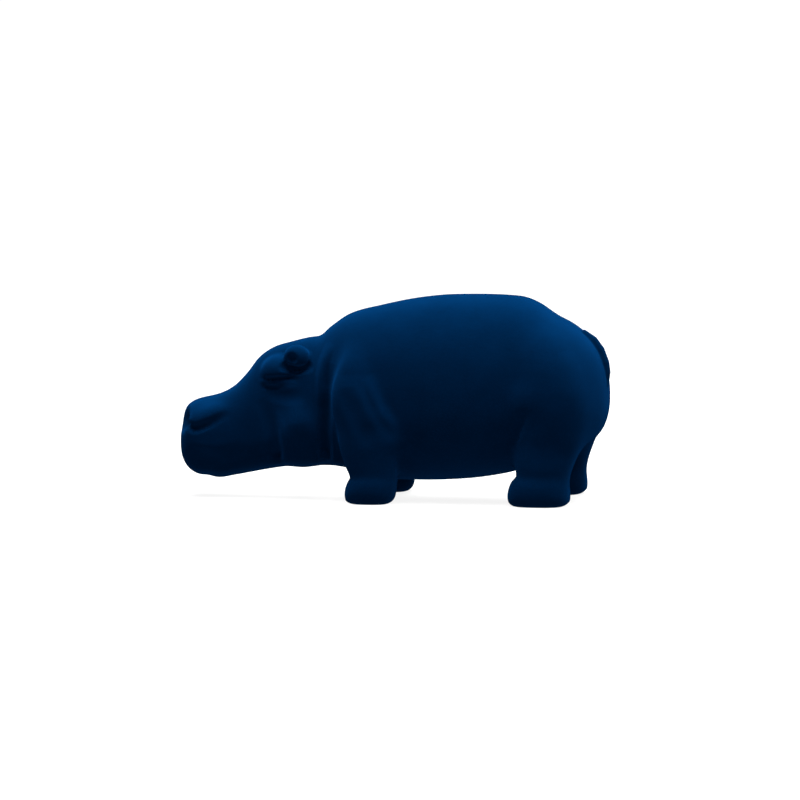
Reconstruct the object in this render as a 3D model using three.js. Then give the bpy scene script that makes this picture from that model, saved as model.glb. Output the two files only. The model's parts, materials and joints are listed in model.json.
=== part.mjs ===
// Standing hippopotamus figure, cast in one piece, with a low head and four short legs.
// Millimetres. The muzzle points along -X, +Y is the figure's right side and +Z is up.
// The soles stand on z = 0 and the origin is under the middle of the figure's length.
//
// The form is worked like clay: soft masses are joined with fillets, and strokes drawn on
// the side view press in its creases and raise its folds. The skin is where the distance
// to that form is zero, and a grid of cells turns it into a closed mesh.

import * as THREE from 'three';

// Driving dimensions
const LENGTH = 200;
const BACK_HEIGHT = 95;
const BARREL_HALF = 36.5;
const MUZZLE_HALF = 21.5;
const FOOT_MIDDLE = 28;

const NOSE_X = -LENGTH / 2 - 0.4;
const RUMP_X = LENGTH / 2 - 1.2;

// Cell sizes of the mesh. It is finest around the eyes and ears and coarsest on the barrel,
// and its lowest layer holds the soles.
const EYE_CELL = 2.5;
const MUZZLE_CELL = 3.2;
const LEG_CELL = 5.5;
const BARREL_CELL = 9;
const TAIL_CELL = 3.4;
const ACROSS_CELL = 3.9;
const WIDE_ACROSS_CELL = 5;
const FOOT_UP_CELL = 3.4;
const UP_CELL = 4.6;
const SOLE_LAYER = 1;
const RELAX_PASSES = 2;

// A smooth curve through [station, value] pairs, level beyond its ends.
function curve(points) {
  const last = points.length - 1;
  const slopes = points.map((point, i) => {
    const before = points[Math.max(i - 1, 0)];
    const after = points[Math.min(i + 1, last)];
    return (after[1] - before[1]) / (after[0] - before[0]);
  });
  return (station) => {
    if (station <= points[0][0]) return points[0][1];
    if (station >= points[last][0]) return points[last][1];
    let i = 0;
    while (station > points[i + 1][0]) i += 1;
    const span = points[i + 1][0] - points[i][0];
    const t = (station - points[i][0]) / span;
    const rise = t * t * (3 - 2 * t);
    const leave = t * (1 - t) * (1 - t) * span * slopes[i];
    const arrive = t * t * (t - 1) * span * slopes[i + 1];
    return points[i][1] * (1 - rise) + points[i + 1][1] * rise + leave + arrive;
  };
}

const level = (value) => () => value;

// Joins two forms with a fillet. Carving one out of the other is the same, turned round.
function join(a, b, fillet) {
  const overlap = Math.max(fillet - Math.abs(a - b), 0) / fillet;
  return Math.min(a, b) - overlap * overlap * fillet * 0.25;
}

function carve(body, tool, fillet) {
  return -join(-body, tool, fillet);
}

// Size of a rounded box, of half sizes 1 and 1, that passes through the point.
function rounded(a, b, power) {
  return Math.pow(Math.pow(Math.abs(a), power) + Math.pow(Math.abs(b), power), 1 / power);
}

// A mass along X: its top, bottom and half width change from station to station, it is
// widest at the height that widest gives, and its ends close over capFront and capRear.
function barrel(form, x, y, z) {
  const top = form.top(x);
  const bottom = form.bottom(x);
  const wide = form.widest(x);
  const half = form.half(x);
  const high = z > wide ? top - wide : wide - bottom;
  const section = rounded(y / half, (z - wide) / high, form.power(x));
  const past = Math.max(form.front + form.capFront - x, 0) / form.capFront
    + Math.max(x - form.rear + form.capRear, 0) / form.capRear;
  return (rounded(section, past, form.capPower) - 1) * Math.min(half, (top - bottom) / 2);
}

// A mass along Z, such as a leg: its front and rear edges, middle and half thickness change
// with height, and it closes over cap below its top.
function column(form, x, y, z) {
  const front = form.front(z);
  const reach = (form.rear(z) - front) / 2;
  const half = form.half(z);
  const section = rounded((x - front - reach) / reach, (y - form.middle(z)) / half, form.power(z));
  const past = Math.max(z - form.top + form.cap, 0) / form.cap;
  return (rounded(section, past, 2) - 1) * Math.min(reach, half);
}

// An egg-shaped mass with its long axis tipped up towards the tail by tilt radians.
function egg(form, x, y, z) {
  const cos = Math.cos(form.tilt);
  const sin = Math.sin(form.tilt);
  const dx = x - form.at[0];
  const dz = z - form.at[2];
  const along = (dx * cos + dz * sin) / form.radii[0];
  const across = (y - form.at[1]) / form.radii[1];
  const up = (dz * cos - dx * sin) / form.radii[2];
  return (Math.hypot(along, across, up) - 1) * Math.min(...form.radii);
}

// Nearest place on a path of [x, z, value] points, in the side view: the distance to it
// and the value there.
function nearestOnPath(path, x, z) {
  let gap = Infinity;
  let value = 0;
  for (let i = 0; i + 1 < path.length; i += 1) {
    const [ax, az, av] = path[i];
    const [bx, bz, bv] = path[i + 1];
    const along = ((x - ax) * (bx - ax) + (z - az) * (bz - az)) / ((bx - ax) ** 2 + (bz - az) ** 2);
    const t = THREE.MathUtils.clamp(along, 0, 1);
    const here = Math.hypot(x - ax - t * (bx - ax), z - az - t * (bz - az));
    if (here < gap) {
      gap = here;
      value = av + t * (bv - av);
    }
  }
  return [gap, value];
}

// A rod in the middle plane along a path of [x, z, radius] points.
function rod(path, x, y, z) {
  const [gap, radius] = nearestOnPath(path, x, z);
  return Math.hypot(gap, y) - radius;
}

// How deep a stroke presses in at a place on the side view, fading out at its width. Its
// path is of [x, z, depth] points, and a negative depth raises the skin.
function relief(stroke, x, z) {
  const [gap, depth] = nearestOnPath(stroke.path, x, z);
  const reach = Math.min(gap / stroke.width, 1);
  return depth * (1 - reach * reach) ** 2;
}

// Neck, shoulders, barrel and rump
const TRUNK = {
  front: -55,
  rear: RUMP_X,
  capFront: 15,
  capRear: 24,
  capPower: 2.8,
  top: curve([
    [-46, 58], [-35, 73.5], [-31, 79], [-22, 85.4], [-8, 89.4], [10, 93.2], [28, BACK_HEIGHT],
    [57, BACK_HEIGHT - 0.4], [66, 91.6], [76, 84.8], [88, 79.6], [95, 76.6], [99, 72],
  ]),
  bottom: curve([
    [-46, 22], [-35, 18], [-27, 15.5], [-10, 9.5], [10, 8.5], [30, 9.2], [45, 11], [58, 14],
    [72, 20], [86, 24], [99, 24],
  ]),
  widest: curve([[-46, 46], [0, 44], [50, 46], [99, 50]]),
  half: curve([
    [-46, 15], [-35, 20.5], [-30, 22.5], [-25, 26], [-18, 30.5], [-8, 33], [5, 34.4],
    [25, BARREL_HALF], [56, BARREL_HALF], [66, 37.4], [76, 36.6], [88, 33], [99, 29],
  ]),
  power: level(2.2),
};

// Muzzle, snout and skull down to the upper lip
const HEAD = {
  front: NOSE_X,
  rear: 0,
  capFront: 12,
  capRear: 20,
  capPower: 4,
  top: curve([
    [-100, 43.6], [-92, 45], [-83, 47.4], [-76, 51.4], [-70, 57.6], [-64.6, 64.6], [-58, 69.2],
    [-50, 71.8], [-40, 74.2], [-28, 75],
  ]),
  bottom: curve([
    [-100, 13.5], [-96, 11], [-91, 9.4], [-85, 9.6], [-75, 11.6], [-60, 15], [-50, 17], [-28, 17],
  ]),
  widest: curve([[-100, 27], [-85, 27], [-70, 28], [-50, 31], [-28, 36]]),
  half: curve([
    [-100, MUZZLE_HALF - 1], [-88, MUZZLE_HALF], [-78, 19.8], [-70, 18.6], [-60, 19.2],
    [-50, 20.8], [-40, 21], [-28, 20.5],
  ]),
  power: curve([[-100, 2.8], [-80, 2.6], [-60, 2.3]]),
};

// Lower jaw, set in under the lip
const JAW = {
  front: -93,
  rear: -10,
  capFront: 14,
  capRear: 10,
  capPower: 2.4,
  top: level(30),
  bottom: curve([[-93, 8.4], [-87, 7.4], [-75, 9.5], [-60, 12.5], [-50, 14], [-28, 15]]),
  widest: level(20),
  half: curve([[-93, 17], [-75, 16], [-60, 16.5], [-45, 18.5], [-28, 19]]),
  power: level(2.6),
};

const FORELEG = {
  front: curve([
    [0, -17.8], [1.5, -19.4], [5.6, -19.8], [9.4, -18.8], [12, -17.6], [16.5, -19.4], [27, -22.7],
    [34, -23.6], [43, -26.2], [52, -27], [62, -26],
  ]),
  rear: curve([
    [0, 1.4], [2.5, 3], [5.8, 3.7], [12.5, 4.3], [22, 5.1], [29, 7.3], [34, 5.4], [39.5, 3],
    [46, -2.4], [55, -5.7], [62, -7],
  ]),
  middle: curve([[0, FOOT_MIDDLE], [12, FOOT_MIDDLE - 0.5], [30, FOOT_MIDDLE - 1], [60, FOOT_MIDDLE - 3]]),
  half: curve([[0, 10.5], [5, 11.8], [9, 11.6], [13, 10.4], [30, 11.2], [45, 11.6], [60, 10]]),
  power: curve([[0, 2.8], [12, 2.6]]),
  top: 69,
  cap: 22,
};

const HINDLEG = {
  front: curve([
    [0, 58.2], [2.4, 56.6], [7, 56.6], [11, 58], [14, 60.2], [22.7, 58.8], [29.4, 61.5],
    [41, 66.5], [55, 66], [68, 66],
  ]),
  rear: curve([
    [0, 83], [2.5, 85], [11.4, 84.8], [16.9, 85.9], [25, 89], [32.5, 92], [45, 93.5], [60, 90],
    [72, 85],
  ]),
  middle: curve([
    [0, FOOT_MIDDLE], [11, FOOT_MIDDLE], [17, FOOT_MIDDLE - 1], [25, FOOT_MIDDLE - 4],
    [35, FOOT_MIDDLE - 7], [60, FOOT_MIDDLE - 8],
  ]),
  half: curve([[0, 11], [4, 12.4], [9, 12.2], [13.5, 10.8], [17, 11.5], [25, 14], [35, 17.4], [60, 17.4]]),
  power: curve([[0, 2.8], [12, 2.6]]),
  top: 74,
  cap: 24,
};

const FLANK = { at: [66.5, 27, 48.5], radii: [13.5, 11.8, 14.5], tilt: -0.12 };
const CHEEK = { at: [-42.5, 10, 32], radii: [13, 15.5, 17], tilt: 0 };
const BROW = { at: [-54, 11.5, 59], radii: [8.2, 9, 7.4], tilt: 0.3 };
const EAR = { at: [-44.8, 15, 66.2], radii: [6, 5.6, 5.6], tilt: 0 };
const EAR_HOLLOW = { at: [-46, 22.2, 65.8], radii: [3.4, 3.4, 3.4], tilt: 0 };
const NOSTRIL = { at: [-86.5, 14.5, 37.4], radii: [9.5, 6, 4.6], tilt: 0.42 };
const NOSE_HOLLOW = { at: [-98.6, 15, 37], radii: [3.4, 7, 5.5], tilt: 0 };
const TAIL = [
  [87.5, 77.4, 2], [91.6, 74, 2.6], [94.6, 69.6, 2.8], [96.6, 64, 2.9], [97.3, 59.5, 2.8], [97.6, 54.5, 1.8],
];

const STROKES = {
  neckGroove: { path: [[-27, 64, 0], [-28.4, 56, 1], [-30, 40, 1.8], [-31, 28, 1.2], [-31, 18, 0]], width: 5 },
  neckFold: { path: [[-28, 73, 0], [-32, 66, -1.2], [-34, 57, -1.4], [-34, 46, 0]], width: 5 },
  cheekCrease: { path: [[-61, 47, 0], [-58, 40, 0.8], [-55, 30, 1.3], [-54, 16, 1]], width: 5 },
  cheekHollow: { path: [[-43, 36, 0], [-41.5, 28, 1], [-41, 22, 0.6]], width: 8 },
  eyeSlit: { path: [[-60, 56, 0], [-55, 56.4, 1.8], [-50, 56.5, 1.8], [-43, 55.3, 0]], width: 3 },
  eyeBag: { path: [[-57, 50, 0.2], [-51, 48.2, 1.2], [-45, 48, 0.6], [-40, 49, 0]], width: 4.5 },
  earShadow: { path: [[-50, 61, 1], [-44, 59.6, 1.6], [-39, 61, 0.8]], width: 4 },
  nostrilFold: { path: [[-94.5, 33.6, 0.8], [-91.5, 32.6, 1.8], [-86, 34.6, 1.4], [-77, 39.6, 0]], width: 3.4 },
  muzzleHollow: { path: [[-97, 21, 0], [-88, 18.6, 1.8], [-76, 19.6, 1], [-68, 21, 0]], width: 7 },
  flankGroove: { path: [[66.5, 46, 0], [64, 41, 1.6], [60.5, 33, 1.6], [58.5, 27, 0]], width: 4.4 },
  armHollow: { path: [[-19, 54, 0], [-16.5, 47, 1.2], [-10, 35, 1.2], [-9, 26, 0]], width: 6 },
};
// Strokes act on the sides only, and fade out towards the middle plane.
const STROKE_FADE = [4, 10];

// Distance to the finished form, below zero inside it. Both sides are alike.
function figure(x, side, z) {
  const y = Math.abs(side);
  let body = barrel(TRUNK, x, y, z);
  body = join(body, egg(FLANK, x, y, z), 2);
  body = join(body, column(HINDLEG, x, y, z), 8);
  body = join(body, column(FORELEG, x, y, z), 4);
  let head = barrel(HEAD, x, y, z);
  head = join(head, barrel(JAW, x, y, z), 1);
  head = join(head, egg(CHEEK, x, y, z), 3);
  head = join(head, egg(BROW, x, y, z), 1.6);
  head = join(head, egg(NOSTRIL, x, y, z), 3);
  head = carve(head, egg(NOSE_HOLLOW, x, y, z), 4);
  head = join(head, egg(EAR, x, y, z), 2.5);
  head = carve(head, egg(EAR_HOLLOW, x, y, z), 2);
  body = join(body, head, 6);
  body = join(body, rod(TAIL, x, y, z), 1);
  const fade = THREE.MathUtils.smoothstep(y, ...STROKE_FADE);
  for (const stroke of Object.values(STROKES)) body += fade * relief(stroke, x, z);
  return body;
}

// Grid lines from a start, through [end, largest step] ranges.
function gridLines(start, ranges) {
  const lines = [start];
  for (const [end, step] of ranges) {
    const from = lines[lines.length - 1];
    const count = Math.ceil((end - from) / step);
    for (let i = 1; i <= count; i += 1) lines.push(from + ((end - from) * i) / count);
  }
  return lines;
}

const LINES = [
  gridLines(-105, [
    [-62, MUZZLE_CELL], [-39, EYE_CELL], [-24, MUZZLE_CELL], [9, LEG_CELL], [53, BARREL_CELL], [85, LEG_CELL],
    [105, TAIL_CELL],
  ]),
  gridLines(-50, [[-25, WIDE_ACROSS_CELL], [25, ACROSS_CELL], [50, WIDE_ACROSS_CELL]]),
  gridLines(-SOLE_LAYER, [
    [SOLE_LAYER, 2 * SOLE_LAYER], [14, FOOT_UP_CELL], [34, UP_CELL], [52, MUZZLE_CELL], [73, EYE_CELL], [99, UP_CELL],
  ]),
];
const [NX, NY, NZ] = LINES.map((lines) => lines.length);
const nodeIndex = (i, j, k) => (i * NY + j) * NZ + k;

// The eight corners of a cell, and the pairs of corners that its edges join.
const CORNERS = Array.from({ length: 8 }, (_, c) => [c & 1, (c >> 1) & 1, c >> 2]);
const EDGES = [];
for (let a = 0; a < 8; a += 1) {
  for (let axis = 0; axis < 3; axis += 1) {
    if (!(a & (1 << axis))) EDGES.push([a, a | (1 << axis), axis]);
  }
}

function forEachCell(visit) {
  for (let i = 0; i + 1 < NX; i += 1) {
    for (let j = 0; j + 1 < NY; j += 1) {
      for (let k = 0; k + 1 < NZ; k += 1) visit(i, j, k);
    }
  }
}

// True where a cell's corners on one side of the skin don't all hang together, so that the
// skin would pass through the cell twice.
function passesTwice(values) {
  const depth = values.filter((value) => value < 0).length;
  if (depth < 2 || depth > 6) return false;
  return [true, false].some((inside) => {
    const members = [0, 1, 2, 3, 4, 5, 6, 7].filter((c) => values[c] < 0 === inside);
    const reached = new Set(members.slice(0, 1));
    for (let round = 0; round < 4; round += 1) {
      for (const [a, b] of EDGES) {
        if (values[a] < 0 !== inside || values[b] < 0 !== inside) continue;
        if (reached.has(a)) reached.add(b);
        if (reached.has(b)) reached.add(a);
      }
    }
    return reached.size < members.length;
  });
}

// Distances at the grid's nodes, with clay filled in wherever the skin would pass through a
// cell twice.
function nodeDistances() {
  const field = new Float64Array(NX * NY * NZ);
  for (let i = 0; i < NX; i += 1) {
    for (let j = 0; j < NY; j += 1) {
      field[nodeIndex(i, j, 0)] = SOLE_LAYER;
      for (let k = 1; k < NZ; k += 1) {
        field[nodeIndex(i, j, k)] = figure(LINES[0][i], LINES[1][j], LINES[2][k]);
      }
    }
  }
  let fills = 1;
  while (fills > 0) {
    fills = 0;
    forEachCell((i, j, k) => {
      if (k === 0) return;
      const nodes = CORNERS.map(([a, b, c]) => nodeIndex(i + a, j + b, k + c));
      const values = nodes.map((node) => field[node]);
      if (!passesTwice(values)) return;
      const nearest = Math.min(...values.filter((value) => value >= 0));
      field[nodes[values.indexOf(nearest)]] = -0.01;
      fills += 1;
    });
  }
  return field;
}

// Moves a point onto the skin along the slope of the distance. On the soles it stays level.
function ontoSkin(point, onSole) {
  const probe = 0.3;
  const largestStep = 1;
  const [x, y, z] = point;
  for (let step = 0; step < 4; step += 1) {
    const [px, py, pz] = point;
    const slope = [
      figure(px + probe, py, pz) - figure(px - probe, py, pz),
      figure(px, py + probe, pz) - figure(px, py - probe, pz),
      onSole ? 0 : figure(px, py, pz + probe) - figure(px, py, pz - probe),
    ].map((rise) => rise / (2 * probe));
    const steepness = Math.max(slope[0] ** 2 + slope[1] ** 2 + slope[2] ** 2, 0.05);
    const move = THREE.MathUtils.clamp(figure(px, py, pz) / steepness, -largestStep, largestStep);
    point = point.map((value, axis) => value - slope[axis] * move);
  }
  const strayed = Math.hypot(point[0] - x, point[1] - y, point[2] - z) > UP_CELL;
  return strayed ? [x, y, z] : point;
}

// One vertex in each cell that the skin passes through, at the middle of its cuts through
// the cell's edges. The lowest layer of cells holds the flat soles and their rims.
function cellVertices(field) {
  const vertices = [];
  const vertexOfCell = new Int32Array(NX * NY * NZ).fill(-1);
  forEachCell((i, j, k) => {
    const sum = [0, 0, 0];
    let cuts = 0;
    let rim = false;
    for (const [a, b, axis] of EDGES) {
      const from = CORNERS[a].map((step, c) => [i, j, k][c] + step);
      const to = CORNERS[b].map((step, c) => [i, j, k][c] + step);
      const va = field[nodeIndex(...from)];
      const vb = field[nodeIndex(...to)];
      if (va < 0 === vb < 0) continue;
      const t = va / (va - vb);
      for (let c = 0; c < 3; c += 1) sum[c] += LINES[c][from[c]] * (1 - t) + LINES[c][to[c]] * t;
      cuts += 1;
      rim = rim || axis < 2;
    }
    if (cuts === 0) return;
    const onSole = k === 0;
    let point = sum.map((total) => total / cuts);
    if (onSole) point[2] = 0;
    if (rim || !onSole) point = ontoSkin(point, onSole);
    vertexOfCell[nodeIndex(i, j, k)] = vertices.length;
    vertices.push({ point, onSole, moves: rim || !onSole });
  });
  return { vertices, vertexOfCell };
}

// A four-sided face across each grid edge that the skin cuts, turned to face outwards.
function faceRings(field, vertexOfCell) {
  const rings = [];
  for (let i = 1; i + 1 < NX; i += 1) {
    for (let j = 1; j + 1 < NY; j += 1) {
      for (let k = 0; k + 1 < NZ; k += 1) {
        const inside = field[nodeIndex(i, j, k)] < 0;
        const cell = (a, b, c) => vertexOfCell[nodeIndex(i - a, j - b, k - c)];
        const add = (ring) => rings.push(inside ? ring : ring.reverse());
        if (k > 0 && inside !== field[nodeIndex(i + 1, j, k)] < 0) {
          add([cell(0, 1, 1), cell(0, 0, 1), cell(0, 0, 0), cell(0, 1, 0)]);
        }
        if (k > 0 && inside !== field[nodeIndex(i, j + 1, k)] < 0) {
          add([cell(1, 0, 1), cell(1, 0, 0), cell(0, 0, 0), cell(0, 0, 1)]);
        }
        if (inside !== field[nodeIndex(i, j, k + 1)] < 0) {
          add([cell(1, 1, 0), cell(0, 1, 0), cell(0, 0, 0), cell(1, 0, 0)]);
        }
      }
    }
  }
  return rings;
}

// Evens out the faces: each vertex goes to the middle of its neighbours and back to the skin.
function relax(vertices, rings) {
  const neighbours = vertices.map(() => new Set());
  for (const ring of rings) {
    ring.forEach((v, c) => {
      neighbours[v].add(ring[(c + 1) % 4]);
      neighbours[v].add(ring[(c + 3) % 4]);
    });
  }
  const middles = vertices.map((vertex, v) => {
    const around = [...neighbours[v]].map((n) => vertices[n].point);
    return [0, 1, 2].map((axis) => around.reduce((sum, point) => sum + point[axis], 0) / around.length);
  });
  vertices.forEach((vertex, v) => {
    if (!vertex.moves) return;
    const target = vertex.point.map((value, axis) => (value + middles[v][axis]) / 2);
    if (vertex.onSole) target[2] = 0;
    vertex.point = ontoSkin(target, vertex.onSole);
  });
}

function skin() {
  const field = nodeDistances();
  const { vertices, vertexOfCell } = cellVertices(field);
  const rings = faceRings(field, vertexOfCell);
  for (let pass = 0; pass < RELAX_PASSES; pass += 1) relax(vertices, rings);
  // Each ring is split along the diagonal that stays closer to the skin.
  const faces = [];
  for (const [a, b, c, d] of rings) {
    const offSkin = (p, q) => {
      const middle = vertices[p].point.map((value, axis) => (value + vertices[q].point[axis]) / 2);
      return Math.abs(figure(...middle));
    };
    if (offSkin(a, c) < offSkin(b, d)) faces.push(a, b, c, a, c, d);
    else faces.push(b, c, d, b, d, a);
  }
  const geometry = new THREE.BufferGeometry();
  const positions = vertices.flatMap((vertex) => vertex.point);
  geometry.setAttribute('position', new THREE.Float32BufferAttribute(positions, 3));
  geometry.setIndex(faces);
  geometry.computeVertexNormals();
  return geometry;
}

const flock = new THREE.MeshStandardMaterial({ color: 0x03305f, roughness: 0.95, metalness: 0 });
const hippo = new THREE.Mesh(skin(), flock);
hippo.name = 'hippo';

const group = new THREE.Group();
group.add(hippo);

export default group;
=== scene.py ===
"""Standing hippopotamus figure covered in dark blue velvet flock, on a plain pale floor.

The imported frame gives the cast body. Its skin is refined here: the same clay-like form is
worked out again from named sizes, with the finer creases and folds that the flock shows.
Millimetres are used for the form, and the mesh is in metres.
"""

import json
import math

import bmesh
import bpy
import numpy as np
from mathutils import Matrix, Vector

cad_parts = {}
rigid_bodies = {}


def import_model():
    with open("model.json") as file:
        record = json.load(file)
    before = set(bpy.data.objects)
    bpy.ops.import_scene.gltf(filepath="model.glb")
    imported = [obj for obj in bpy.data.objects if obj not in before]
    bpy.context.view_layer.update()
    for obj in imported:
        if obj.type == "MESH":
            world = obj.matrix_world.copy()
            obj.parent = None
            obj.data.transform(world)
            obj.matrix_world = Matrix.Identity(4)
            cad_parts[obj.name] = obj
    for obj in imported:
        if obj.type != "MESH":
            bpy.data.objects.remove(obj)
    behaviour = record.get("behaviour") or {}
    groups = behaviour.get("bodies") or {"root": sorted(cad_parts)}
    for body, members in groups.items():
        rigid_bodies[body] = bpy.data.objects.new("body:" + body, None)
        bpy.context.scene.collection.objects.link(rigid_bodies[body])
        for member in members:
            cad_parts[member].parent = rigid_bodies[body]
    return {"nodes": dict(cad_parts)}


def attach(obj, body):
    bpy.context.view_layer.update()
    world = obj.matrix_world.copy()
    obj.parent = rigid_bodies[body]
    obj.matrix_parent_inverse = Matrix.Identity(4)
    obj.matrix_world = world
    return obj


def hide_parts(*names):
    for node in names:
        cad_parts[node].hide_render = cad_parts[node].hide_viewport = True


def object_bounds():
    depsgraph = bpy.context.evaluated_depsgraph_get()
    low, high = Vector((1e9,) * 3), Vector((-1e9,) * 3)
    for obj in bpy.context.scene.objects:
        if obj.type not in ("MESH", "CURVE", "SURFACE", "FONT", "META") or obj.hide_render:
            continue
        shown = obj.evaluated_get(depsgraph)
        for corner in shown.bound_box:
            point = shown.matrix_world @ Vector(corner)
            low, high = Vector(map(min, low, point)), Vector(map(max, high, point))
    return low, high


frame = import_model()
CAD_LOW, CAD_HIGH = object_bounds()

MM = 0.001

# Driving sizes of the figure, as in the cast body
LENGTH = 200
BACK_HEIGHT = 95
BARREL_HALF = 36.5
MUZZLE_HALF = 21.5
FOOT_MIDDLE = 28
NOSE_X = -LENGTH / 2 - 0.4
RUMP_X = LENGTH / 2 - 1.2
SOLE_EDGE = 1.6


def curve(*points):
    """A smooth curve through (station, value) pairs, level beyond its ends."""
    stations = np.array([point[0] for point in points], float)
    values = np.array([point[1] for point in points], float)
    before = np.maximum(np.arange(len(stations)) - 1, 0)
    after = np.minimum(np.arange(len(stations)) + 1, len(stations) - 1)
    slopes = (values[after] - values[before]) / (stations[after] - stations[before])

    def at(station):
        station = np.clip(station, stations[0], stations[-1])
        i = np.clip(np.searchsorted(stations, station, side="right") - 1, 0, len(stations) - 2)
        span = stations[i + 1] - stations[i]
        t = (station - stations[i]) / span
        rise = t * t * (3 - 2 * t)
        leave = t * (1 - t) ** 2 * span * slopes[i]
        arrive = t * t * (t - 1) * span * slopes[i + 1]
        return values[i] * (1 - rise) + values[i + 1] * rise + leave + arrive

    return at


def level(value):
    return lambda station: value


def join(a, b, fillet):
    """Joins two forms with a fillet."""
    overlap = np.maximum(fillet - np.abs(a - b), 0) / fillet
    return np.minimum(a, b) - overlap * overlap * fillet * 0.25


def carve(body, tool, fillet):
    """Cuts a tool out of a body, with a softened rim."""
    return -join(-body, tool, fillet)


def rounded(a, b, power):
    return (np.abs(a) ** power + np.abs(b) ** power) ** (1 / power)


def barrel(form, x, y, z):
    """A mass along X, widest at one height, whose ends close over two caps."""
    top = form["top"](x)
    bottom = form["bottom"](x)
    wide = form["widest"](x)
    half = form["half"](x)
    high = np.where(z > wide, top - wide, wide - bottom)
    section = rounded(y / half, (z - wide) / high, form["power"](x))
    past = (np.maximum(form["front"] + form["cap_front"] - x, 0) / form["cap_front"]
            + np.maximum(x - form["rear"] + form["cap_rear"], 0) / form["cap_rear"])
    return (rounded(section, past, form["cap_power"]) - 1) * np.minimum(half, (top - bottom) / 2)


def column(form, x, y, z):
    """A mass along Z, such as a leg, that closes over a cap below its top."""
    front = form["front"](z)
    reach = (form["rear"](z) - front) / 2
    half = form["half"](z)
    section = rounded((x - front - reach) / reach, (y - form["middle"](z)) / half, form["power"](z))
    past = np.maximum(z - form["top"] + form["cap"], 0) / form["cap"]
    return (rounded(section, past, 2) - 1) * np.minimum(reach, half)


def egg(form, x, y, z):
    """An egg-shaped mass with its long axis tipped up towards the tail."""
    (at_x, at_y, at_z), radii, tilt = form
    along = ((x - at_x) * math.cos(tilt) + (z - at_z) * math.sin(tilt)) / radii[0]
    across = (y - at_y) / radii[1]
    up = ((z - at_z) * math.cos(tilt) - (x - at_x) * math.sin(tilt)) / radii[2]
    return (np.sqrt(along ** 2 + across ** 2 + up ** 2) - 1) * min(radii)


def nearest_on_path(path, x, z):
    """Distance to a path of (x, z, value) points in the side view, and the value there."""
    gap = np.full(np.shape(x), np.inf)
    value = np.zeros(np.shape(x))
    for (ax, az, av), (bx, bz, bv) in zip(path, path[1:]):
        along = ((x - ax) * (bx - ax) + (z - az) * (bz - az)) / ((bx - ax) ** 2 + (bz - az) ** 2)
        t = np.clip(along, 0, 1)
        here = np.hypot(x - ax - t * (bx - ax), z - az - t * (bz - az))
        closer = here < gap
        gap = np.where(closer, here, gap)
        value = np.where(closer, av + t * (bv - av), value)
    return gap, value


def rod(path, x, y, z):
    """A rod in the middle plane along a path of (x, z, radius) points."""
    gap, radius = nearest_on_path(path, x, z)
    return np.hypot(gap, y) - radius


def smooth_path(points, steps=4):
    """The path through the points, rounded off between them."""
    points = np.array(points, float)
    last = len(points) - 1
    path = []
    for i in range(last):
        p0, p1, p2, p3 = (points[j] for j in (max(i - 1, 0), i, i + 1, min(i + 2, last)))
        for t in np.arange(steps) / steps:
            path.append(0.5 * (2 * p1 + (p2 - p0) * t + (2 * p0 - 5 * p1 + 4 * p2 - p3) * t ** 2
                               + (3 * p1 - p0 - 3 * p2 + p3) * t ** 3))
    path.append(points[last])
    return path


def smoothstep(value, low, high):
    t = np.clip((value - low) / (high - low), 0, 1)
    return t * t * (3 - 2 * t)


# Neck, shoulders, barrel and rump
TRUNK = {
    "front": -55, "rear": RUMP_X, "cap_front": 15, "cap_rear": 24, "cap_power": 2.8,
    "top": curve((-46, 58), (-35, 73.5), (-31, 79), (-22, 85.4), (-8, 89.4), (10, 93.2),
                 (28, BACK_HEIGHT), (57, BACK_HEIGHT - 0.4), (66, 91.6), (76, 84.8), (88, 79.6),
                 (95, 76.6), (99, 72)),
    "bottom": curve((-46, 22), (-35, 18), (-27, 15.5), (-10, 9.5), (10, 8.5), (30, 9.2), (45, 11),
                    (58, 14), (72, 20), (86, 24), (99, 24)),
    "widest": curve((-46, 46), (0, 44), (50, 46), (99, 50)),
    "half": curve((-46, 15), (-35, 20.5), (-30, 22.5), (-25, 26), (-18, 30.5), (-8, 33), (5, 34.4),
                  (25, BARREL_HALF), (56, BARREL_HALF), (66, 37.4), (76, 36.6), (88, 33),
                  (99, 29)),
    "power": level(2.2),
}

# Muzzle, snout and skull down to the upper lip
HEAD = {
    "front": NOSE_X, "rear": 0, "cap_front": 12, "cap_rear": 20, "cap_power": 4,
    "top": curve((-100, 43.6), (-92, 45), (-83, 47.4), (-76, 51.4), (-70, 57.6), (-64.6, 64.6),
                 (-58, 69.2), (-50, 71.8), (-40, 74.2), (-28, 75)),
    "bottom": curve((-100, 13.5), (-96, 11), (-91, 9.4), (-85, 9.6), (-75, 11.6), (-60, 15),
                    (-50, 17), (-28, 17)),
    "widest": curve((-100, 27), (-85, 27), (-70, 28), (-50, 31), (-28, 36)),
    "half": curve((-100, MUZZLE_HALF - 1), (-88, MUZZLE_HALF), (-78, 19.8), (-70, 18.6),
                  (-60, 19.2), (-50, 20.8), (-40, 21), (-28, 20.5)),
    "power": curve((-100, 2.8), (-80, 2.6), (-60, 2.3)),
}

# Lower jaw, set in under the lip
JAW = {
    "front": -93, "rear": -10, "cap_front": 14, "cap_rear": 10, "cap_power": 2.4,
    "top": level(30),
    "bottom": curve((-93, 8.4), (-87, 7.4), (-75, 9.5), (-60, 12.5), (-50, 14), (-28, 15)),
    "widest": level(20),
    "half": curve((-93, 17), (-75, 16), (-60, 16.5), (-45, 18.5), (-28, 19)),
    "power": level(2.6),
}

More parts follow.
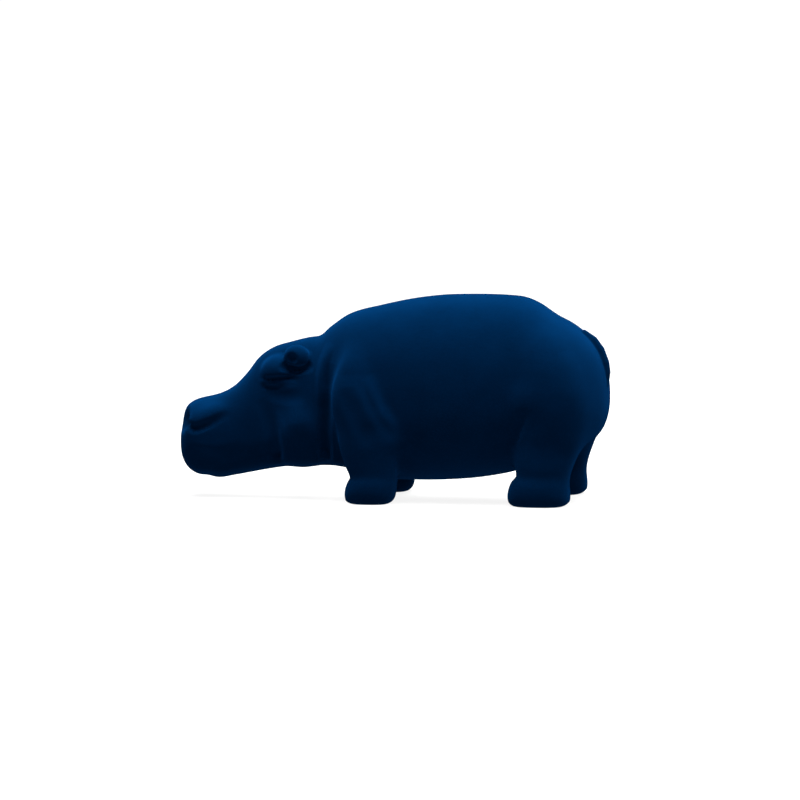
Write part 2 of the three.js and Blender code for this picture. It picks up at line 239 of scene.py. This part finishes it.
FORELEG = {
    "front": curve((0, -17.8), (1.5, -19.4), (5.6, -19.8), (9.4, -18.8), (12, -17.6), (16.5, -19.4),
                   (27, -22.7), (34, -23.6), (43, -26.2), (52, -27), (62, -26)),
    "rear": curve((0, 1.4), (2.5, 3), (5.8, 3.7), (12.5, 4.3), (22, 5.1), (29, 7.3), (34, 5.4),
                  (39.5, 3), (46, -2.4), (55, -5.7), (62, -7)),
    "middle": curve((0, FOOT_MIDDLE), (12, FOOT_MIDDLE - 0.5), (30, FOOT_MIDDLE - 1),
                    (60, FOOT_MIDDLE - 3)),
    "half": curve((0, 10.5), (5, 11.8), (9, 11.6), (13, 10.4), (30, 11.2), (45, 11.6), (60, 10)),
    "power": curve((0, 2.8), (12, 2.6)),
    "top": 69, "cap": 22,
}

HINDLEG = {
    "front": curve((0, 58.2), (2.4, 56.6), (7, 56.6), (11, 58), (14, 60.2), (22.7, 58.8),
                   (29.4, 61.5), (41, 66.5), (55, 66), (68, 66)),
    "rear": curve((0, 83), (2.5, 85), (11.4, 84.8), (16.9, 85.9), (25, 89), (32.5, 92), (45, 93.5),
                  (60, 90), (72, 85)),
    "middle": curve((0, FOOT_MIDDLE), (11, FOOT_MIDDLE), (17, FOOT_MIDDLE - 1), (25, FOOT_MIDDLE - 4),
                    (35, FOOT_MIDDLE - 7), (60, FOOT_MIDDLE - 8)),
    "half": curve((0, 11), (4, 12.4), (9, 12.2), (13.5, 10.8), (17, 11.5), (25, 14), (35, 17.4),
                  (60, 17.4)),
    "power": curve((0, 2.8), (12, 2.6)),
    "top": 74, "cap": 24,
}

# Eggs: middle, radii and tilt
FLANK = ((66.5, 27, 48.5), (13.5, 11.8, 14.5), -0.12)
CHEEK = ((-42.5, 10, 32), (13, 15.5, 17), 0)
BROW = ((-54, 11.5, 59), (8.2, 9, 7.4), 0.3)
EAR = ((-44.8, 15, 66.2), (6, 5.6, 5.6), 0)
EAR_HOLLOW = ((-46.5, 20.8, 65.6), (2.6, 3, 2.6), 0)
NOSTRIL = ((-86.5, 14.5, 37.4), (9.5, 6, 4.6), 0.42)
NOSE_HOLLOW = ((-98.6, 15, 37), (3.4, 7, 5.5), 0)
# Path of the tail in the middle plane: x, z and radius
TAIL = ((87.5, 77.4, 2), (91.6, 74, 2.6), (94.6, 69.6, 2.8), (96.6, 64, 2.9), (97.3, 59.5, 2.8),
        (97.6, 54.5, 1.8))

# Fillets where each form meets the rest
FILLET = {
    "flank": 2, "hind leg": 8, "foreleg": 4, "jaw": 1, "cheek": 3, "brow": 1.6, "nostril": 2.5,
    "nose hollow": 3, "ear": 1.2, "ear hollow": 1.5, "neck": 4, "tail": 1,
}

# Strokes on the sides: width, then (x, z, depth) points. A negative depth raises the skin.
STROKES = {
    "neck groove": (4.5, ((-27, 64, 0), (-28.4, 56, 1), (-29, 50, 1.2), (-30, 40, 2.4),
                          (-31, 28, 2.6), (-31, 16, 2))),
    "neck fold": (3.4, ((-28, 73, 0), (-31, 66, -1.4), (-32.5, 58, -1.6), (-32.3, 50, -1.4),
                        (-32, 44, 0))),
    "cheek crease": (5, ((-61, 47, 0), (-58, 40, 0.8), (-55, 30, 1.3), (-54.2, 22, 2), (-54, 16, 0.5))),
    "cheek edge": (3, ((-53, 42, 0), (-50.5, 34, -0.7), (-50, 26, -0.8), (-50, 18, -0.6))),
    "cheek hollow": (8, ((-43, 36, 0), (-41.5, 28, 1), (-41, 22, 0.6))),
    "eye slit": (2, ((-60, 56, 0), (-57, 56.2, 1.2), (-52, 56.6, 1.8), (-47, 56.3, 1.2),
                     (-43, 55.3, 0))),
    "lower lid": (1.6, ((-63, 54.6, 0), (-59.5, 54.4, -0.5), (-55, 54.6, -0.4), (-50, 54.6, 0))),
    "under lid crease": (1.6, ((-62, 52, 0), (-58.5, 51.8, 0.6), (-54, 52, 0.6), (-48, 52, 0))),
    "eye bag": (4.5, ((-57, 50, 0.2), (-51, 48.2, 1.2), (-45, 48, 0.6), (-40, 49, 0))),
    "ear shadow": (3, ((-50, 61.5, 1.4), (-44, 60.2, 2), (-39, 61.5, 1))),
    "nostril fold": (3, ((-94.5, 33.6, 0.8), (-91.5, 32.6, 1.8), (-86, 34.6, 1.4), (-79, 38.4, 0.4),
                         (-76, 40, 0))),
    "muzzle hollow": (7, ((-97, 21, 0), (-90, 19, 1.6), (-82, 18.4, 1.8), (-74, 20, 0.8),
                          (-68, 21, 0))),
    "flank groove": (3.6, ((66.5, 46, 0), (64, 41, 1.6), (60.5, 33, 1.6), (58.5, 27, 0))),
    "arm hollow": (6, ((-19, 54, 0), (-16.5, 47, 1.2), (-12, 38, 1), (-9, 33, 1.2), (-9, 26, 0))),
    "arm rear edge": (4, ((-8, 60, 0), (-6.5, 54, -1), (-3, 46, -1.2), (2.5, 38, -0.8), (6, 30, 0))),
}
# Strokes act on the sides only, and fade out towards the middle plane.
STROKE_FADE = (4, 10)
PATHS = [(width, smooth_path(points)) for width, points in STROKES.values()]


def strokes_depth(x, z):
    depth = np.zeros(len(x))
    for width, path in PATHS:
        low = np.min(path, axis=0)[:2] - width
        high = np.max(path, axis=0)[:2] + width
        near = np.flatnonzero((x > low[0]) & (x < high[0]) & (z > low[1]) & (z < high[1]))
        gap, value = nearest_on_path(path, x[near], z[near])
        depth[near] += value * (1 - np.minimum(gap / width, 1) ** 2) ** 2
    return depth


def figure(points):
    """Distance to the finished form in millimetres, below zero inside. Both sides are alike."""
    x, side, z = points.T
    y = np.abs(side)
    body = barrel(TRUNK, x, y, z)
    body = join(body, egg(FLANK, x, y, z), FILLET["flank"])
    body = join(body, column(HINDLEG, x, y, z), FILLET["hind leg"])
    body = join(body, column(FORELEG, x, y, z), FILLET["foreleg"])
    head = barrel(HEAD, x, y, z)
    head = join(head, barrel(JAW, x, y, z), FILLET["jaw"])
    head = join(head, egg(CHEEK, x, y, z), FILLET["cheek"])
    head = join(head, egg(BROW, x, y, z), FILLET["brow"])
    head = join(head, egg(NOSTRIL, x, y, z), FILLET["nostril"])
    head = carve(head, egg(NOSE_HOLLOW, x, y, z), FILLET["nose hollow"])
    head = join(head, egg(EAR, x, y, z), FILLET["ear"])
    head = carve(head, egg(EAR_HOLLOW, x, y, z), FILLET["ear hollow"])
    body = join(body, head, FILLET["neck"])
    body = join(body, rod(TAIL, x, y, z), FILLET["tail"])
    body = body + smoothstep(y, *STROKE_FADE) * strokes_depth(x, z)
    return carve(body, z, SOLE_EDGE)


def onto_skin(points, steps):
    """Moves the points onto the form's skin, along the slope of the distance."""
    probe = 0.06
    least_steepness = 0.05
    largest_move = 1.5
    for _ in range(steps):
        distance = figure(points)
        slope = np.stack([(figure(points + offset) - distance) / probe
                          for offset in np.eye(3) * probe], axis=1)
        steepness = np.maximum((slope ** 2).sum(1), least_steepness)
        move = np.clip(distance / steepness, -largest_move, largest_move)
        points = points - slope * move[:, None]
    return points


def relaxed(points, edges):
    """Each point half way to the middle of its neighbours, which evens out the faces."""
    total = np.zeros_like(points)
    count = np.zeros(len(points))
    for a, b in (edges.T, edges.T[::-1]):
        np.add.at(total, a, points[b])
        np.add.at(count, a, 1)
    return (points + total / count[:, None]) / 2


def needs_fine_faces(point):
    """The sides of the head, the rims of the soles and the tail."""
    x, y, z = point / MM
    return (x < -26 and abs(y) > 3) or z < 6 or (x > 84 and abs(y) < 7 and z > 50)


def flocked_skin(node):
    """The cast body's mesh, with finer faces laid on the finished form."""
    bm = bmesh.new()
    bm.from_mesh(node.data)
    bmesh.ops.remove_doubles(bm, verts=bm.verts, dist=0.01 * MM)
    wide = math.radians(120)
    bmesh.ops.join_triangles(bm, faces=bm.faces, angle_face_threshold=wide, angle_shape_threshold=wide)
    bmesh.ops.subdivide_edges(bm, edges=bm.edges, cuts=2, use_grid_fill=True)
    fine = [edge for edge in bm.edges if needs_fine_faces((edge.verts[0].co + edge.verts[1].co) / 2)]
    bmesh.ops.subdivide_edges(bm, edges=fine, cuts=1, use_grid_fill=True)
    mesh = bpy.data.meshes.new("flocked_hippo")
    bm.to_mesh(mesh)
    bm.free()

    points = np.empty(len(mesh.vertices) * 3)
    mesh.vertices.foreach_get("co", points)
    points = points.reshape(-1, 3) / MM
    edges = np.empty(len(mesh.edges) * 2, int)
    mesh.edges.foreach_get("vertices", edges)
    edges = edges.reshape(-1, 2)
    points = onto_skin(points, 3)
    for _ in range(3):
        points = onto_skin(relaxed(points, edges), 1)
    points = onto_skin(points, 1)
    points = np.clip(points, np.array(CAD_LOW) / MM, np.array(CAD_HIGH) / MM)
    mesh.vertices.foreach_set("co", (points * MM).ravel())
    mesh.update()
    mesh.polygons.foreach_set("use_smooth", np.ones(len(mesh.polygons), bool))
    piece = bpy.data.objects.new("flocked_hippo", mesh)
    bpy.context.scene.collection.objects.link(piece)
    return piece


def linear(code):
    """An sRGB hex colour as linear red, green, blue and alpha."""
    parts = [int(code[i:i + 2], 16) / 255 for i in (1, 3, 5)]
    return [c / 12.92 if c <= 0.04045 else ((c + 0.055) / 1.055) ** 2.4 for c in parts] + [1]


def add_node(tree, kind, settings=(), inputs=(), links=()):
    """Adds a node, with its settings, its input values and links to its inputs."""
    node = tree.nodes.new(kind)
    for name, value in dict(settings).items():
        setattr(node, name, value)
    for name, value in dict(inputs).items():
        node.inputs[name].default_value = value
    for name, socket in dict(links).items():
        tree.links.new(socket, node.inputs[name])
    return node


def velvet_flock():
    """Nylon flock, half a millimetre long, shot upright into glue. It looks dark where it is
    seen straight on, and glows where the eye looks along the fibres' flanks."""
    material = bpy.data.materials.new("nylon_velvet_flock")
    material.use_nodes = True
    tree = material.node_tree
    shader = tree.nodes["Principled BSDF"]
    place = add_node(tree, "ShaderNodeTexCoord").outputs["Object"]

    # The nap leans a little differently from patch to patch.
    patch_width = 12 * MM
    nap = add_node(tree, "ShaderNodeTexNoise",
                   inputs={"Scale": 1 / patch_width, "Detail": 3, "Roughness": 0.6},
                   links={"Vector": place})
    # Tufts of fibres, drawn wider than they are so that they show at all
    tuft_width = 1.2 * MM
    tufts = add_node(tree, "ShaderNodeTexNoise",
                     inputs={"Scale": 1 / tuft_width, "Detail": 4, "Roughness": 0.7},
                     links={"Vector": place})
    shade = add_node(tree, "ShaderNodeMix", {"data_type": "FLOAT"}, {"Factor": 0.35},
                     {"A": nap.outputs["Fac"], "B": tufts.outputs["Fac"]})
    tone = add_node(tree, "ShaderNodeValToRGB", links={"Fac": shade.outputs["Result"]})
    tone.color_ramp.elements[0].position = 0.35
    tone.color_ramp.elements[0].color = linear("#000716")
    tone.color_ramp.elements[1].position = 0.65
    tone.color_ramp.elements[1].color = linear("#00091A")
    tree.links.new(tone.outputs["Color"], shader.inputs["Base Color"])

    bump = add_node(tree, "ShaderNodeBump", inputs={"Strength": 0.25, "Distance": 0.25 * MM},
                    links={"Height": tufts.outputs["Fac"]})
    tree.links.new(bump.outputs["Normal"], shader.inputs["Normal"])
    shader.inputs["Roughness"].default_value = 0.95
    shader.inputs["Specular IOR Level"].default_value = 0
    shader.inputs["Sheen Weight"].default_value = 0.1
    shader.inputs["Sheen Roughness"].default_value = 0.6
    shader.inputs["Sheen Tint"].default_value = linear("#0E59A3")
    return material


def studio_white():
    """Matt white paper that glows with painted light, brighter away from the middle, until only the
    figure's own shadow tells it from white.
    """
    material = bpy.data.materials.new("white_paper_sweep")
    material.use_nodes = True
    tree = material.node_tree
    shader = tree.nodes["Principled BSDF"]
    shader.inputs["Base Color"].default_value = linear("#444444")
    shader.inputs["Roughness"].default_value = 0.9
    shader.inputs["Specular IOR Level"].default_value = 0.1
    shader.inputs["Emission Color"].default_value = (1, 1, 1, 1)
    # The glow makes up for the lamps, which reach only the middle of the paper.
    place = add_node(tree, "ShaderNodeTexCoord").outputs["Object"]
    away = add_node(tree, "ShaderNodeVectorMath", {"operation": "LENGTH"}, links={0: place})
    glow = add_node(tree, "ShaderNodeMapRange", {"interpolation_type": "SMOOTHSTEP"},
                    {"From Min": 0.2, "From Max": 1.2, "To Min": 0.88, "To Max": 1.05},
                    {"Value": away.outputs["Value"]})
    tree.links.new(glow.outputs["Result"], shader.inputs["Emission Strength"])
    return material


def floor_disc():
    bm = bmesh.new()
    bmesh.ops.create_circle(bm, cap_ends=True, segments=96, radius=6)
    mesh = bpy.data.meshes.new("floor")
    bm.to_mesh(mesh)
    bm.free()
    floor = bpy.data.objects.new("floor", mesh)
    bpy.context.scene.collection.objects.link(floor)
    mesh.materials.append(studio_white())


# Lamps: place and width in metres, and power in watts. All point at the figure's middle.
LAMPS = {
    "overhead": ((0, 0, 0.9), 0.9, 71),
    "overhead_rear": ((0, 0.65, 0.65), 0.6, 32),
    "tail_side": ((0.55, 0, 0.7), 0.6, 11),
    "camera_side": ((0.3, -0.9, 0.12), 0.6, 8),
}
LAMP_AIM = (0, 0, 0.05)


def soft_light(name, place, size, power):
    light = bpy.data.lights.new(name, "AREA")
    light.shape = "DISK"
    light.size = size
    light.energy = power
    lamp = bpy.data.objects.new(name, light)
    lamp.location = place
    lamp.rotation_euler = (Vector(LAMP_AIM) - Vector(place)).to_track_quat("-Z", "Y").to_euler()
    bpy.context.scene.collection.objects.link(lamp)


def studio():
    scene = bpy.context.scene
    scene.view_settings.view_transform = "Standard"
    scene.view_settings.look = "None"
    world = bpy.data.worlds.new("studio")
    scene.world = world
    world.use_nodes = True
    tree = world.node_tree
    seen = add_node(tree, "ShaderNodeLightPath").outputs["Is Camera Ray"]
    # White behind the figure, in a room that is almost dark
    strength = add_node(tree, "ShaderNodeMix", {"data_type": "FLOAT"}, {"A": 0.02, "B": 1.05},
                        {"Factor": seen})
    tree.links.new(strength.outputs["Result"], tree.nodes["Background"].inputs["Strength"])
    tree.nodes["Background"].inputs["Color"].default_value = (1, 1, 1, 1)
    for name, (place, size, power) in LAMPS.items():
        soft_light(name, place, size, power)


def photograph_camera():
    """A long lens on the figure's left side, turned a little towards its tail."""
    azimuth = math.radians(9)
    elevation = math.radians(5.7)
    frame_width = 372 * MM
    middle_right = 1.3 * MM
    middle_up = 45 * MM
    distance = 6
    right = Vector((math.cos(azimuth), math.sin(azimuth), 0))
    ahead = Vector((-math.cos(elevation) * math.sin(azimuth), math.cos(elevation) * math.cos(azimuth),
                    -math.sin(elevation)))
    up = right.cross(ahead)
    camera = bpy.data.cameras.new("camera")
    camera.lens = camera.sensor_width * distance / frame_width
    camera.clip_end = 50
    eye = bpy.data.objects.new("camera", camera)
    eye.location = right * middle_right + up * middle_up - ahead * distance
    eye.rotation_euler = ahead.to_track_quat("-Z", "Y").to_euler()
    bpy.context.scene.collection.objects.link(eye)
    bpy.context.scene.camera = eye


for unused in list(bpy.data.objects):
    if unused.name in ("Cube", "Light", "Camera"):
        bpy.data.objects.remove(unused)
photograph_camera()
hippo = flocked_skin(frame["nodes"]["hippo"])
hippo.data.materials.append(velvet_flock())
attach(hippo, "root")
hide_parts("hippo")
floor_disc()
studio()
